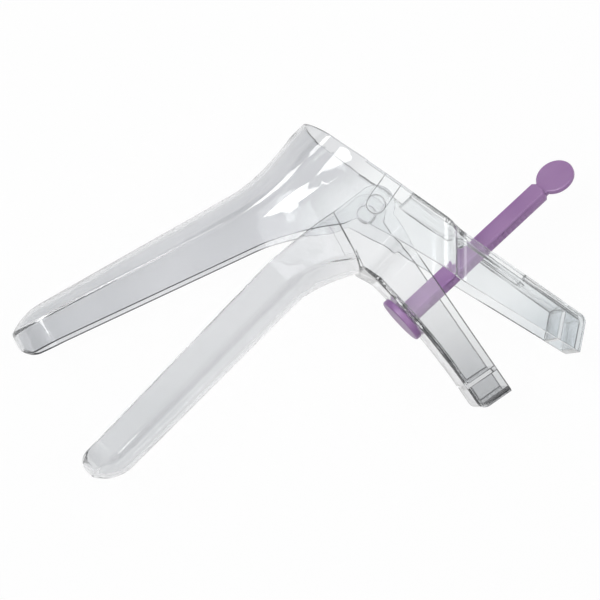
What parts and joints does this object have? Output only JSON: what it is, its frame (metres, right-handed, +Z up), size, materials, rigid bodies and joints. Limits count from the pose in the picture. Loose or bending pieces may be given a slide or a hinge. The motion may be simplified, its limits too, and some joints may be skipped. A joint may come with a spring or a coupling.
{
  "type": "bivalve speculum",
  "caption": "Disposable bivalve speculum: two clear moulded valves hinged like a clothes peg, with a purple lock bar through both handles.",
  "frame": {"origin": "on the hinge axis, in the plane of the lower cheek's outer face, which the speculum lies on", "axes": "+Z up along the hinge axis, -X along the upper blade to its nose, -Y towards the handles"},
  "size_m": [0.184, 0.1068, 0.036],
  "materials": {
    "clear_plastic": "clear gloss, as moulded",
    "purple_plastic": "satin gloss, slightly translucent"
  },
  "bodies": {
    "upper_valve": {"upper_valve": "clear_plastic"},
    "lower_valve": {"lower_valve": "clear_plastic"},
    "lock_bar": {"lock_bar": "purple_plastic"}
  },
  "joints": [
    {"name": "valve_hinge", "type": "hinge", "parent": "upper_valve", "child": "lower_valve", "pos_m": [0, 0, 0.018], "axis": [0, 0, 1], "range_deg": [-16, 12]},
    {"name": "bar_turn", "type": "hinge", "parent": "lower_valve", "child": "lock_bar", "pos_m": [-0.00595, -0.03542, 0.018], "axis": [0.9646, 0.2639, 0], "continuous": true}
  ]
}
